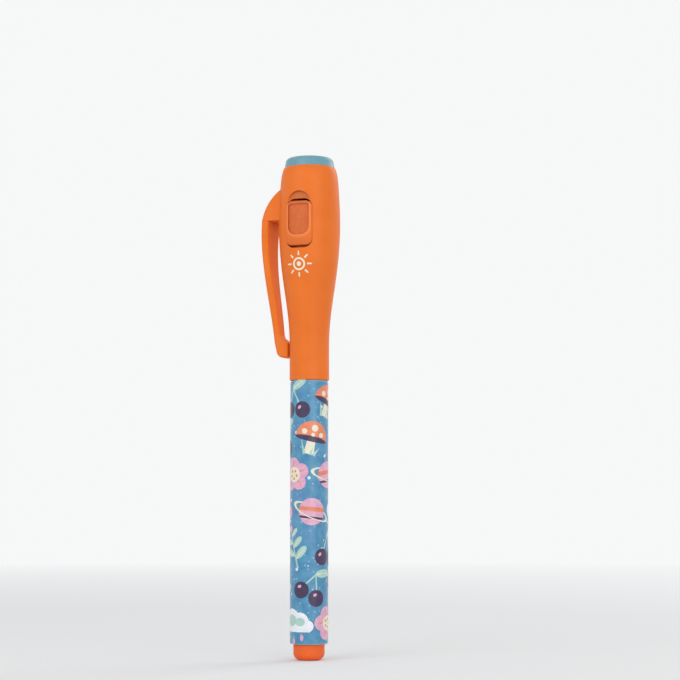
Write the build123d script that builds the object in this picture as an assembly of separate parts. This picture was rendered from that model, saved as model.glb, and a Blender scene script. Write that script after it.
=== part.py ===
from build123d import *
import os

# Invisible ink pen with a lamp in its cap. Millimetres, pen upright along +Z.
# The origin is the centre of the end plug's flat foot. The button faces -Y, the clip points
# to -X and the battery door is on the +Y side.

# Fits
press_gap = 0.02          # between pieces pressed or stacked together
slide_gap = 0.06          # radial room where one piece slides in or on another
rim_gap = 0.2             # hairline between the cap's rim and the barrel
panel_gap = 0.15          # round the battery door

# Barrel and its foot
barrel_radius = 5.0
barrel_bore = 3.9
barrel_length = 70.3
barrel_edge = 0.3
wrap_thickness = 0.1
wrap_margin = 0.35        # bare ends of the barrel beyond the printed film
plug_lip = 0.3            # overlap of the plug's head on the barrel's end
plug_head = 4.3
plug_edge = 1.9
plug_floor = 1.8
plug_stem = 6.0
plug_stem_wall = 0.9

# Ink reservoir and nib
reservoir_radius = 3.25
film_thickness = 0.15
nib_radius = 1.15
nib_bite = 6.0            # nib's tail inside the fibre
nib_reach = 5.6           # nib beyond its section
nib_taper = 2.8
nib_point = 0.45
section_stem = 8.0
section_bore = 2.6
section_cone = 10.4
section_mouth = 0.6       # wall round the nib
section_bulge = 0.3       # how far the cone swells past straight
section_nose = 8.5        # solid nose that grips the nib
section_step = 0.9        # ledge that meets the liner's rim
neck_radius = 4.5
neck_length = 10.5

# Cap outside
collar_wall = 0.8
collar_length = 9.6
flare_height = 27.7
flare_radius = 7.25
belly_height = 41.0
belly_radius = 8.35
brow_drop = 5.9           # below the lamp end
brow_radius = 8.0
rim_wall = 0.95
rim_lean = 30.0           # degrees that the outline leans in at the lamp end
cap_edge = 0.3

# Cap inside
chamber_radius = 6.0
liner_wall = 0.7
liner_gap = 0.15          # between liner and section
nib_room = 0.8            # above the nib's point
bulkhead = 5.6

# Lamp
led_radius = 2.5
led_height = 8.6
led_flange_radius = 2.9
led_flange = 1.0
led_room = 1.3            # from the lamp's tip to the cap's end
lead_width = 0.5
lead_pitch = 2.54
lens_head = 3.2
lens_lean = 0.3           # how far the lens draws in above the rim
lens_crown = 0.45
lens_edge = 1.3
lens_skirt = 3.0
lens_inset = 0.1
lens_pocket_gap = 0.35

# Cells, contacts and their carrier
cell_radius = 3.95
cell_height = 3.6
cell_count = 3
cell_cap_radius = 3.1
cell_cap_height = 0.3
cell_shift = 1.0          # stack set back from the button
cell_room = 0.1
carrier_wall = 0.5
carrier_floor = 1.0
carrier_top = 1.2
carrier_gap = 0.15
carrier_mouth = 0.6       # how far the cradle's arms pass the cells' middle
holder_wall = 0.9
holder_grip = 2.0
lead_drop = 1.1           # room under the lamp for its legs
contact_thickness = 0.25
contact_width = 5.0
contact_corner = 1.0
leaf_thickness = 0.2
leaf_width = 3.4
leaf_bend = 0.6
leaf_tip_lean = 0.4

# Press button
button_width = 7.4
button_length = 12.0
button_corner = 1.7
button_rise = 8.6         # button's middle above the chamber's floor
button_proud = 0.3
button_slit = 0.7         # open slit above and below the button
button_edge = 0.4
button_travel = 0.7
flange_width = 8.8
flange_thickness = 0.8
post_radius = 1.0
post_length = 0.27
pad_width = 6.0
pad_length = 8.4
pad_corner = 0.8
pad_round = 2.3           # lower corners of the pad
pad_drop = 0.8            # pad's top below the button's top
pad_depth = 0.4
scoop_width = 6.6
scoop_length = 2.1        # thumb scoop above the window
scoop_depth = 0.75

# Clip
clip_width = 9.2
clip_tip_width = 4.4
clip_reach = 4.3          # widest stand-off beyond the belly
clip_bow_drop = 3.4       # widest place below the clip's top
clip_waist_reach = 3.25
clip_waist_height = 25.0
clip_tip_reach = 4.12     # beyond the collar
clip_tip_height = 10.5
clip_tip_edge = 1.9
clip_tip_lean = 0.95
clip_end_height = 6.3
clip_thick_top = 1.95
clip_thick_waist = 1.95
clip_thick_low = 1.7
clip_foot_gap = 0.25
clip_foot_height = 10.3
clip_foot_edge = 0.5
clip_bend = 1.8           # round where the foot turns in from the blade
clip_ramp_height = 12.0
clip_edge = 0.35          # round along the inside of the clip
root_drop = 14.4          # underside of the shoulder below the lamp end
root_rise = 9.0           # height of the shoulder
root_sink = 1.9           # how far the shoulder's top end starts inside the cap
root_mid_rise = 4.6
root_mid_reach = 2.2
root_reach = 4.0
root_edge = 0.6           # round along the outside of shoulder and clip
root_blend = 0.5          # round where the shoulder meets the cap
root_gap = 0.05           # between shoulder and clip
tang_width = 3.4
tang_thick = 0.65
tang_height = 1.2
tang_cover = 0.8          # shoulder's wall outside the tang
tang_swing = 0.3          # room for the tang when the clip opens

# Battery door
door_thick = 1.3
door_seat = 0.05
door_ledge = 0.5
door_corner = 2.0
door_tail = 2.6           # door below the screw
bay_margin = 0.3
screw_radius = 0.8
screw_length = 3.8
screw_head_radius = 1.45
screw_head = 0.6
screw_head_edge = 0.2
screw_sink = 0.75         # depth of the head's pocket in the door
screw_tip_room = 0.4
screw_slot = 0.35
screw_slot_length = 1.9
screw_slot_depth = 0.35

# Heights along the pen
barrel_low = plug_head
barrel_high = barrel_low + barrel_length
plug_top = barrel_low + plug_stem
section_low = barrel_high - section_stem
neck_high = barrel_high + neck_length
cone_high = neck_high + section_cone
nib_tip = cone_high + nib_reach
reservoir_low = plug_top + press_gap
reservoir_high = section_low - press_gap
cap_low = barrel_high + rim_gap
liner_low = neck_high + liner_gap
liner_high = nib_tip + nib_room + liner_wall
bulkhead_low = liner_high + press_gap
chamber_low = bulkhead_low + bulkhead
carrier_low = chamber_low + press_gap
carrier_deck = carrier_low + carrier_floor
leaf_low = carrier_deck + press_gap
cell_low = leaf_low + leaf_thickness + press_gap
cell_step = cell_height + press_gap
contact_low = cell_low + cell_count * cell_step
roof_low = contact_low + contact_thickness + press_gap
roof_high = roof_low + carrier_top
led_low = roof_high + lead_drop
led_tip = led_low + led_height
cap_high = led_tip + led_room
lens_high = cap_high + lens_head
belly_z = cap_low + belly_height
button_z = chamber_low + button_rise
screw_z = bulkhead_low + bulkhead / 2
root_low = cap_high - root_drop
root_high = root_low + root_rise

# Radii that follow from the fits
wrap_inner = barrel_radius + press_gap
wrap_radius = wrap_inner + wrap_thickness
plug_radius = barrel_bore + plug_lip
stem_radius = barrel_bore - press_gap
film_inner = reservoir_radius + press_gap
nib_hole = nib_radius + press_gap
socket_radius = neck_radius + slide_gap
collar_radius = socket_radius + collar_wall
liner_radius = socket_radius - press_gap
rim_radius = chamber_radius + rim_wall
carrier_radius = chamber_radius - carrier_gap
cradle_inner = cell_radius + cell_room
cradle_outer = cradle_inner + carrier_wall
cradle_front = cradle_outer - cell_shift
flange_radius = chamber_radius - slide_gap
flange_inner = flange_radius - flange_thickness
post_tip = flange_inner - post_length
window_width = button_width + 2 * slide_gap
window_length = button_length + 2 * button_slit
tall = lens_high + plug_head


def rod(radius, low, high):
    """Round bar on the pen's axis between two heights."""
    return Pos(0, 0, low) * Cylinder(radius, high - low, align=(Align.CENTER, Align.CENTER, Align.MIN))


def ring(outer, inner, low, high):
    """Tube on the pen's axis between two heights."""
    return rod(outer, low, high) - rod(inner, low, high)


def block(x_low, x_high, y_low, y_high, z_low, z_high):
    """Box given by its limits."""
    size = Box(x_high - x_low, y_high - y_low, z_high - z_low, align=Align.MIN)
    return Pos(x_low, y_low, z_low) * size


def turned(*curves):
    """Solid turned about the pen's axis from curves of a half section."""
    edges = [edge for curve in curves for edge in curve.edges()]
    return revolve(Plane.XZ * make_face(edges), axis=Axis.Z)


def front_prism(sketch, start, end):
    """Prism of a sketch in X and Z, running out to the button side."""
    return extrude(Plane.XZ.offset(start) * sketch, amount=end - start)


def back_prism(sketch, start, end):
    """Prism of a sketch in X and Z, running out to the door side."""
    return extrude(Plane.XZ.offset(-end) * sketch, amount=end - start)


def end_plug():
    foot = plug_radius - plug_edge
    bore = stem_radius - plug_stem_wall
    corner = JernArc((foot, 0), (1, 0), plug_edge, 90)
    rest = Polyline(
        corner @ 1,
        (plug_radius, barrel_low - press_gap),
        (stem_radius, barrel_low - press_gap),
        (stem_radius, plug_top),
        (bore, plug_top),
        (bore, plug_floor),
        (0, plug_floor),
        (0, 0),
        (foot, 0),
    )
    return turned(corner, rest)


def barrel_tube():
    tube = ring(barrel_radius, barrel_bore, barrel_low, barrel_high)
    foot_rim = tube.faces().sort_by(Axis.Z)[0].outer_wire().edges()
    return fillet(foot_rim, barrel_edge)


def printed_wrap():
    return ring(wrap_radius, wrap_inner, barrel_low + wrap_margin, barrel_high - wrap_margin)


def ink_reservoir():
    fibre = rod(reservoir_radius, reservoir_low, reservoir_high)
    return fibre - rod(nib_hole, reservoir_high - nib_bite - press_gap, reservoir_high)


def reservoir_film():
    return ring(film_inner + film_thickness, film_inner, reservoir_low, reservoir_high)


def nib_section():
    cone_base = neck_radius - section_step
    mouth = nib_hole + section_mouth
    nose = ThreePointArc(
        (cone_base, neck_high),
        ((cone_base + mouth) / 2 + section_bulge, (neck_high + cone_high) / 2),
        (mouth, cone_high),
    )
    rest = Polyline(
        nose @ 1,
        (0, cone_high),
        (0, section_low),
        (stem_radius, section_low),
        (stem_radius, barrel_high + press_gap),
        (neck_radius, barrel_high + press_gap),
        (neck_radius, neck_high),
        nose @ 0,
    )
    body = turned(nose, rest)
    body -= rod(section_bore, section_low, cone_high - section_nose)
    return body - rod(nib_hole, section_low, cone_high)


def nib():
    shoulder = nib_tip - nib_taper
    point = JernArc((nib_point, nib_tip - nib_point), (0, 1), nib_point, 90)
    rest = Polyline(
        point @ 1,
        (0, reservoir_high - nib_bite),
        (nib_radius, reservoir_high - nib_bite),
        (nib_radius, shoulder),
        point @ 0,
    )
    return turned(point, rest)


def cap_form(inset):
    """Solid within the cap's outside surface, moved inwards by inset."""
    collar = Line((collar_radius - inset, cap_low), (collar_radius - inset, cap_low + collar_length))
    side = Spline(
        collar @ 1,
        (flare_radius - inset, cap_low + flare_height),
        (belly_radius - inset, belly_z),
        (brow_radius - inset, cap_high - brow_drop),
        (rim_radius - inset, cap_high),
        tangents=[(0, 1), Vector(0, 1).rotate(Axis.Z, rim_lean)],
    )
    rest = Polyline(side @ 1, (0, cap_high), (0, cap_low), collar @ 0)
    return turned(collar, side, rest)


def surface_radius(height):
    """Cap's outside radius at a height."""
    return section(cap_form(0), section_by=Plane.XY.offset(height)).bounding_box().max.X


def clip_root():
    """Shoulder on the cap that the clip springs from."""
    bow = ThreePointArc(
        (-surface_radius(root_high) + root_sink, root_high),
        (-belly_radius - root_mid_reach, root_low + root_mid_rise),
        (-belly_radius - root_reach, root_low),
    )
    rest = Polyline(bow @ 1, (0, root_low), (0, root_high), bow @ 0)
    shoulder = front_prism(make_face(bow.edges() + rest.edges()), -clip_width / 2, clip_width / 2)
    crown = shoulder.edges().filter_by(GeomType.CIRCLE)
    return fillet(crown, root_edge)


def tang_limits():
    """Clip tang's inner and outer distance from the pen's axis."""
    outer = belly_radius + root_reach - tang_cover
    return outer - tang_thick, outer


def window_outline(width, length, corner):
    return Pos(0, button_z) * RectangleRounded(width, length, corner)


def scoop_outline():
    """Thumb scoop: an arch that runs into the window's top end."""
    arch = scoop_width / 2
    high = button_z + window_length / 2 + scoop_length - arch
    straight = Pos(0, high) * Rectangle(scoop_width, high - button_z, align=(Align.CENTER, Align.MAX))
    return straight + Pos(0, high) * Circle(arch)


def door_outline(margin):
    """Outline of the battery door, drawn in by a margin."""
    width = 2 * (cell_radius + bay_margin + door_ledge)
    low = screw_z - door_tail
    high = roof_low + bay_margin + 2 * door_ledge
    middle = Pos(0, (low + high) / 2)
    return middle * RectangleRounded(width - 2 * margin, high - low - 2 * margin, door_corner - margin)


def cap_shell():
    far = 2 * belly_radius
    form = cap_form(0)
    shoulder = clip_root()
    body = form + shoulder
    seam = new_edges(form, shoulder, combined=body)
    body = fillet([edge for edge in seam if edge.bounding_box().max.Z > root_low + root_blend], root_blend)
    body -= rod(socket_radius, cap_low, bulkhead_low)
    body -= rod(chamber_radius, chamber_low, cap_high)

    # Button window and thumb scoop
    floor = surface_radius(button_z + window_length / 2) - scoop_depth
    body -= front_prism(window_outline(window_width, window_length, button_corner + button_slit), 0, far)
    body -= front_prism(scoop_outline(), floor, far)

    # Battery bay, the door's seat and the screw's hole
    bay_half = cell_radius + bay_margin
    body -= block(-bay_half, bay_half, 0, far, carrier_deck, roof_low + bay_margin)
    body -= back_prism(door_outline(0), 0, far) - cap_form(door_thick + door_seat)
    seat = surface_radius(screw_z) - screw_sink
    depth = screw_length + screw_tip_room
    hole = Cylinder(screw_radius + slide_gap, depth, align=(Align.CENTER, Align.CENTER, Align.MAX))
    body -= Location((0, seat, screw_z), (-90, 0, 0)) * hole

    # Pocket for the clip's tang
    inner, outer = tang_limits()
    half = tang_width / 2 + slide_gap
    roof = root_low + tang_height + tang_swing
    body -= block(-outer - slide_gap, -inner + tang_swing, -half, half, root_low, roof)
    rim = body.edges().filter_by(GeomType.CIRCLE).group_by(Axis.Z)[0].sort_by(SortBy.RADIUS)[-1]
    return fillet(rim, cap_edge)


def inner_cap():
    cup = rod(liner_radius, liner_low, liner_high)
    return cup - rod(liner_radius - liner_wall, liner_low, liner_high - liner_wall)


def lens():
    base = rim_radius - lens_inset
    shoulder = base - lens_lean
    crown_edge = shoulder - lens_edge
    crown_low = lens_high - lens_crown
    skirt = chamber_radius - press_gap
    crown = TangentArc((0, lens_high), (crown_edge, crown_low), tangent=(1, 0))
    corner = RadiusArc((crown_edge, crown_low), (shoulder, crown_low - lens_edge), lens_edge)
    rest = Polyline(
        corner @ 1,
        (base, cap_high + press_gap),
        (skirt, cap_high + press_gap),
        (skirt, cap_high - lens_skirt),
        (0, cap_high - lens_skirt),
        crown @ 0,
    )
    pocket = rod(led_radius + lens_pocket_gap, cap_high - lens_skirt, led_tip + lens_pocket_gap)
    return turned(crown, corner, rest) - pocket


def uv_led():
    body = rod(led_radius, led_low, led_tip - led_radius)
    body += Pos(0, 0, led_tip - led_radius) * Sphere(led_radius)
    return body + rod(led_flange_radius, led_low, led_low + led_flange)


def lead_front():
    """How far the long leg stands off to the button side."""
    return cradle_front + press_gap + lead_width / 2


def led_leads():
    half = lead_width / 2
    side = lead_pitch / 2
    run_low = roof_high + press_gap
    run_high = run_low + lead_width
    front = lead_front()
    top = led_low - press_gap
    short = block(side - half, side + half, -half, half, roof_low, top)
    drop = block(-side - half, -side + half, -half, half, run_low, top)
    run = block(-side - half, -side + half, -front - half, half, run_low, run_high)
    low = button_z - post_radius
    tail = block(-side - half, -side + half, -front - half, -front + half, low, run_high)
    return Compound(children=[short, drop + run + tail])


def battery_carrier():
    floor = rod(carrier_radius, carrier_low, carrier_deck)
    cradle = Pos(0, cell_shift, 0) * ring(cradle_outer, cradle_inner, carrier_deck, roof_low)
    cradle -= block(-tall, tall, cell_shift + carrier_mouth, tall, carrier_low, roof_high)
    roof = rod(carrier_radius, roof_low, roof_high)
    clear = (flange_inner**2 - (button_width / 2) ** 2) ** 0.5 - button_travel - slide_gap
    roof -= block(-tall, tall, -tall, -clear, roof_low, roof_high)
    collar_low = led_low + led_flange + press_gap
    bore = led_radius + press_gap
    holder = ring(bore + holder_wall, bore, collar_low, collar_low + holder_grip)
    skirt = led_flange_radius + press_gap
    holder += ring(skirt + holder_wall, skirt, roof_high, collar_low)
    holder += ring(skirt + holder_wall, bore, collar_low, collar_low + holder_wall)
    body = floor + cradle + roof + holder

    # Ways through for the leaf and the lamp's legs
    leaf_half = leaf_width / 2 + slide_gap
    body -= block(-leaf_half, leaf_half, -tall, 0, carrier_deck, cell_low + leaf_bend)
    side = lead_pitch / 2
    half = lead_width / 2 + slide_gap
    body -= block(side - half, side + half, -half, half, roof_low, roof_high)
    body -= block(-side - half, -side + half, -tall, half, roof_high, led_low)
    front = lead_front() - half
    return body - block(-side - half, -side + half, -tall, -front, roof_low, roof_high)


def button_cell(index):
    low = cell_low + index * cell_step
    can = rod(cell_radius, low, low + cell_height - cell_cap_height)
    cap = rod(cell_cap_radius, low, low + cell_height)
    return Pos(0, cell_shift, 0) * (can + cap)


def positive_contact():
    plate = RectangleRounded(contact_width, contact_width, contact_corner)
    return Pos(0, cell_shift, contact_low) * extrude(plate, amount=contact_thickness)


def switch_leaf():
    """Bent strip: its foot lies under the cells and its hump stands under the button's post."""
    mid = leaf_low + leaf_thickness / 2
    back = cell_shift + cell_cap_radius
    front = cradle_front + slide_gap + leaf_thickness
    hump = post_tip - press_gap - leaf_thickness / 2
    rise = (button_z - mid) / 2
    path = FilletPolyline(
        (back, mid),
        (-front, mid),
        (-front, mid + rise / 2),
        (-hump, button_z - post_radius),
        (-hump, button_z + post_radius),
        (-hump + leaf_tip_lean, button_z + rise),
        radius=leaf_bend,
    )
    strip = Plane.YZ * trace(path, leaf_thickness)
    return extrude(strip, amount=leaf_width / 2, both=True)


def light_button():
    far = 2 * belly_radius
    outline = window_outline(button_width, button_length, button_corner)
    body = front_prism(outline, 0, far) & cap_form(-button_proud)
    face = body.faces().sort_by(Axis.Y)[0]
    body = fillet(face.outer_wire().edges(), button_edge)
    body -= rod(flange_inner, chamber_low, cap_high)
    band = ring(flange_radius, flange_inner, cell_low + button_slit, roof_low - panel_gap)
    body += band & block(-flange_width / 2, flange_width / 2, -far, 0, 0, tall)
    post = Cylinder(post_radius, flange_radius - post_tip, align=(Align.CENTER, Align.CENTER, Align.MIN))
    body += Location((0, -post_tip, button_z), (90, 0, 0)) * post

    # Sunk finger pad with a squarer top and a rounder bottom
    high = button_z + button_length / 2 - pad_drop
    pad = Pos(0, high) * Rectangle(pad_width, pad_length, align=(Align.CENTER, Align.MAX))
    pad = fillet(pad.vertices().group_by(Axis.Y)[-1], pad_corner)
    pad = fillet(pad.vertices().group_by(Axis.Y)[0], pad_round)
    return body - (front_prism(pad, flange_radius, far) - cap_form(pad_depth - button_proud))


def pocket_clip():
    top = root_low - root_gap
    bow = belly_radius + clip_reach
    waist = belly_radius + clip_waist_reach
    tip = collar_radius + clip_tip_reach
    foot = collar_radius + clip_foot_gap
    bow_z = top - clip_bow_drop
    waist_z = cap_low + clip_waist_height
    tip_z = cap_low + clip_tip_height
    end_z = cap_low + clip_end_height
    ramp_z = cap_low + clip_ramp_height
    outside = Spline(
        (-belly_radius - root_reach, top),
        (-bow, bow_z),
        (-waist, waist_z),
        (-tip, tip_z),
    )
    inside = Spline(
        (-belly_radius - root_reach + clip_thick_top, top),
        (-bow + clip_thick_top, bow_z),
        (-waist + clip_thick_waist, waist_z),
        (-tip - (ramp_z - tip_z) * (waist - tip) / (waist_z - tip_z) + clip_thick_low, ramp_z),
    )
    end = Polyline(
        outside @ 1,
        (-tip + clip_tip_lean, end_z),
        (-foot, end_z),
        (-foot, cap_low + clip_foot_height),
        inside @ 1,
    )
    lid = Line(outside @ 0, inside @ 0)
    outline = make_face(outside.edges() + inside.edges() + end.edges() + lid.edges())
    heel, toe = outline.vertices().group_by(Axis.Y)[0].sort_by(Axis.X)
    outline = fillet(heel, clip_tip_edge)
    outline = fillet(outline.vertices().sort_by_distance(toe.center())[0], clip_foot_edge)
    half_top = clip_width / 2
    half_tip = clip_tip_width / 2
    blade = front_prism(outline, -half_top, half_top)
    bend = blade.edges().filter_by(Axis.Y).sort_by_distance(Vector((inside @ 1).X, 0, ramp_z))[0]
    blade = fillet(bend, clip_bend)
    side = TangentArc((half_tip, end_z), (half_top, top), tangent=(0, 1))
    far_side = TangentArc((-half_tip, end_z), (-half_top, top), tangent=(0, 1))
    ends = Polyline(side @ 1, far_side @ 1).edges() + Polyline(side @ 0, far_side @ 0).edges()
    leaf = make_face(side.edges() + far_side.edges() + ends)
    blade &= extrude(Plane.YZ * leaf, amount=2 * bow, both=True)
    outer_skin = blade.faces().filter_by(lambda face: face.normal_at().X < -0.5)
    blade = fillet(outer_skin.edges().filter_by(Axis.Y, reverse=True), root_edge)
    inner_skin = blade.faces().filter_by(lambda face: face.normal_at().X > 0.5).sort_by(SortBy.AREA)[-1]
    blade = fillet(inner_skin.edges().filter_by(Axis.Y, reverse=True), clip_edge)
    inner, outer = tang_limits()
    half = tang_width / 2
    return blade + block(-outer, -inner, -half, half, top - clip_edge, top + tang_height)


def battery_door():
    far = 2 * belly_radius
    panel = back_prism(door_outline(panel_gap), 0, far) & (cap_form(0) - cap_form(door_thick))
    seat = surface_radius(screw_z) - screw_sink
    pocket = Cylinder(screw_head_radius + slide_gap, far, align=(Align.CENTER, Align.CENTER, Align.MIN))
    hole = Cylinder(screw_radius + slide_gap, far)
    panel -= Location((0, seat, screw_z), (-90, 0, 0)) * pocket
    return panel - Location((0, seat, screw_z), (-90, 0, 0)) * hole


def door_screw():
    head = Cylinder(screw_head_radius, screw_head, align=(Align.CENTER, Align.CENTER, Align.MIN))
    head = fillet(head.edges().group_by(Axis.Z)[-1], screw_head_edge)
    for turn in (0, 90):
        cross = Box(screw_slot_length, screw_slot, 2 * screw_slot_depth)
        head -= Pos(0, 0, screw_head) * Rot(0, 0, turn) * cross
    shank = Cylinder(screw_radius, screw_length, align=(Align.CENTER, Align.CENTER, Align.MAX))
    seat = surface_radius(screw_z) - screw_sink + press_gap
    return Location((0, seat, screw_z), (-90, 0, 0)) * (head + shank)


def save(name, shape):
    export_step(shape, os.path.join("parts", name + ".step"))


os.makedirs("parts", exist_ok=True)
save("end_plug", end_plug())
save("barrel_tube", barrel_tube())
save("printed_wrap", printed_wrap())
save("ink_reservoir", ink_reservoir())
save("reservoir_film", reservoir_film())
save("nib_section", nib_section())
save("nib", nib())
save("cap_shell", cap_shell())
save("inner_cap", inner_cap())
save("lens", lens())
save("uv_led", uv_led())
save("led_leads", led_leads())
save("battery_carrier", battery_carrier())
for index in range(cell_count):
    save(f"button_cell_{index + 1}", button_cell(index))
save("positive_contact", positive_contact())
save("switch_leaf", switch_leaf())
save("light_button", light_button())
save("pocket_clip", pocket_clip())
save("battery_door", battery_door())
save("door_screw", door_screw())
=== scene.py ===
import math

import bpy
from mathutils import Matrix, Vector


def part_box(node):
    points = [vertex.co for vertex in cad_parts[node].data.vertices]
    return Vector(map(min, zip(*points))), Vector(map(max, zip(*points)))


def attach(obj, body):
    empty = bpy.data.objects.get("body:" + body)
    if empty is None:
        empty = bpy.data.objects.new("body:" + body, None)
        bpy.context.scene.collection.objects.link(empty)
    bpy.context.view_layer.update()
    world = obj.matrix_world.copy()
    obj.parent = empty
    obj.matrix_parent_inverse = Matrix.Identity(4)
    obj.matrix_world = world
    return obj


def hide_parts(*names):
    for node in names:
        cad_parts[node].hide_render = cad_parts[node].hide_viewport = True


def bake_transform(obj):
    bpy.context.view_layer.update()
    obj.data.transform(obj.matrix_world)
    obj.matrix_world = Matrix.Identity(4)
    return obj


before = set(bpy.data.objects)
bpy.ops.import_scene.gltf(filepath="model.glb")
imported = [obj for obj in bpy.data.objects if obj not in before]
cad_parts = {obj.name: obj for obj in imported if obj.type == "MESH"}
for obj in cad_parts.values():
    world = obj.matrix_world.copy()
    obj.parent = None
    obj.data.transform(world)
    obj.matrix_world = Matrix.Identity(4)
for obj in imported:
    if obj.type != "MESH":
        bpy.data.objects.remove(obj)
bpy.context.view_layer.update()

# Pen with a lamp in its cap: metres, upright along +Z, button towards -Y, clip towards -X
penNodes = {name: bpy.data.objects[name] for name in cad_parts}
mm = 0.001
smoothAngle = math.radians(35)
noiseSpan = (0.3, 0.7)        # nearly all values of a noise texture lie in here
print("frame loaded:", len(penNodes), "nodes")


# Small helpers for node trees
def tint(red, green, blue):
    # screen colour 0 to 255, made linear
    steps = [value / 255 for value in (red, green, blue)]
    return [s / 12.92 if s <= 0.04045 else ((s + 0.055) / 1.055) ** 2.4 for s in steps] + [1.0]


def addNode(finish, kind, **values):
    # values are input sockets by name, with _ for a space
    node = finish.node_tree.nodes.new(kind)
    for name, value in values.items():
        node.inputs[name.replace("_", " ")].default_value = value
    return node


def join(finish, source, target):
    finish.node_tree.links.new(source, target)


def feed(finish, value, socket):
    # an output is linked, a plain value is written into the socket
    if hasattr(value, "default_value"):
        join(finish, value, socket)
    else:
        socket.default_value = value


def setSockets(shader, sockets):
    for name, value in sockets.items():
        shader.inputs[name].default_value = value


def coordsOf(finish, kind="Object"):
    return addNode(finish, "ShaderNodeTexCoord").outputs[kind]


def startFinish(name):
    finish = bpy.data.materials.new(name)
    finish.use_nodes = True
    return finish, finish.node_tree.nodes["Principled BSDF"], coordsOf(finish)


def stretched(finish, coords, scale):
    mapping = addNode(finish, "ShaderNodeMapping", Scale=scale)
    join(finish, coords, mapping.inputs["Vector"])
    return mapping.outputs["Vector"]


def noise(finish, coords, scale, detail=2.0):
    node = addNode(finish, "ShaderNodeTexNoise", Scale=scale, Detail=detail)
    join(finish, coords, node.inputs["Vector"])
    return node.outputs["Fac"]


def ramp(finish, factor, look, span=noiseSpan):
    # from the look's shade to its light
    node = addNode(finish, "ShaderNodeValToRGB")
    for stop, colour, position in zip(node.color_ramp.elements, (look["shade"], look["light"]), span):
        stop.color = tint(*colour)
        stop.position = position
    join(finish, factor, node.inputs["Fac"])
    return node.outputs["Color"]


def spread(finish, factor, fromLow, fromHigh, toLow, toHigh):
    node = addNode(
        finish, "ShaderNodeMapRange",
        From_Min=fromLow, From_Max=fromHigh, To_Min=toLow, To_Max=toHigh,
    )
    join(finish, factor, node.inputs["Value"])
    return node.outputs["Result"]


def bump(finish, height, strength, distance):
    node = addNode(finish, "ShaderNodeBump", Strength=strength, Distance=distance)
    join(finish, height, node.inputs["Height"])
    return node.outputs["Normal"]


def overlay(finish, factor, under, over):
    node = addNode(finish, "ShaderNodeMix")
    node.data_type = "RGBA"
    join(finish, factor, node.inputs[0])
    feed(finish, under, node.inputs[6])
    feed(finish, over, node.inputs[7])
    return node.outputs[2]


def mathNode(finish, operation, first, second=0.0):
    node = addNode(finish, "ShaderNodeMath")
    node.operation = operation
    feed(finish, first, node.inputs[0])
    feed(finish, second, node.inputs[1])
    return node.outputs[0]


def product(finish, first, *others):
    for other in others:
        first = mathNode(finish, "MULTIPLY", first, other)
    return first


def parts(finish, vector):
    node = addNode(finish, "ShaderNodeSeparateXYZ")
    join(finish, vector, node.inputs[0])
    return node.outputs


def length(finish, vector):
    node = addNode(finish, "ShaderNodeVectorMath")
    node.operation = "LENGTH"
    join(finish, vector, node.inputs[0])
    return node.outputs["Value"]


def flatLength(finish, across, up):
    corner = addNode(finish, "ShaderNodeCombineXYZ")
    join(finish, across, corner.inputs["X"])
    join(finish, up, corner.inputs["Y"])
    return length(finish, corner.outputs[0])


def recolour(finish, factor, colour):
    socket = finish.node_tree.nodes["Principled BSDF"].inputs["Base Color"]
    join(finish, overlay(finish, factor, socket.links[0].from_socket, colour), socket)


# Moulded plastics: cloudy colour, uneven gloss and a fine spark-eroded grain
def mouldedPlastic(name, look):
    finish, shader, coords = startFinish(name)
    setSockets(shader, look["sockets"])
    cloud = noise(finish, coords, look["cloudScale"], look["cloudDetail"])
    join(finish, ramp(finish, cloud, look), shader.inputs["Base Color"])
    gloss = noise(finish, coords, look["glossScale"], look["glossDetail"])
    join(finish, spread(finish, gloss, *noiseSpan, *look["roughness"]), shader.inputs["Roughness"])
    grain = noise(finish, coords, look["grainScale"])
    join(finish, bump(finish, grain, look["grainStrength"], look["grainDepth"]), shader.inputs["Normal"])
    return finish


orangeShell = {
    "shade": (231, 113, 36),
    "light": (239, 121, 43),
    "cloudScale": 110.0,
    "cloudDetail": 3.0,
    "glossScale": 420.0,
    "glossDetail": 4.0,
    "roughness": (0.36, 0.46),
    "grainScale": 7000.0,
    "grainStrength": 0.25,
    "grainDepth": 0.02 * mm,
    "sockets": {"IOR": 1.5, "Specular IOR Level": 0.2},
}
orangePlug = dict(orangeShell, shade=(236, 98, 40), light=(244, 110, 48))
barrelBlue = dict(
    orangeShell,
    shade=(112, 170, 204),
    light=(124, 180, 210),
    roughness=(0.24, 0.32),
    sockets={"IOR": 1.5, "Specular IOR Level": 0.35},
)
sectionWhite = dict(barrelBlue, shade=(226, 230, 230), light=(236, 238, 236), roughness=(0.22, 0.3))
linerNatural = dict(
    orangeShell,
    shade=(216, 216, 206),
    light=(226, 225, 216),
    roughness=(0.45, 0.58),
    sockets={"IOR": 1.5, "Subsurface Weight": 0.2, "Subsurface Scale": 1.0 * mm},
)
carrierBlack = dict(
    orangeShell,
    shade=(26, 26, 28),
    light=(34, 34, 36),
    roughness=(0.5, 0.62),
    grainStrength=0.4,
)
lensTeal = dict(
    orangeShell,
    shade=(108, 166, 184),
    light=(124, 180, 196),
    cloudScale=160.0,
    glossScale=380.0,
    roughness=(0.3, 0.4),
    grainScale=5200.0,
    grainStrength=0.12,
    sockets={
        "IOR": 1.49,
        "Transmission Weight": 0.25,
        "Subsurface Weight": 0.3,
        "Subsurface Scale": 2.0 * mm,
    },
)
clearCast = dict(
    lensTeal,
    shade=(226, 224, 240),
    light=(240, 238, 250),
    roughness=(0.04, 0.1),
    sockets={"IOR": 1.52, "Transmission Weight": 0.85},
)
clearFilm = dict(clearCast, shade=(226, 234, 238), light=(240, 244, 246), roughness=(0.1, 0.2))


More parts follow.
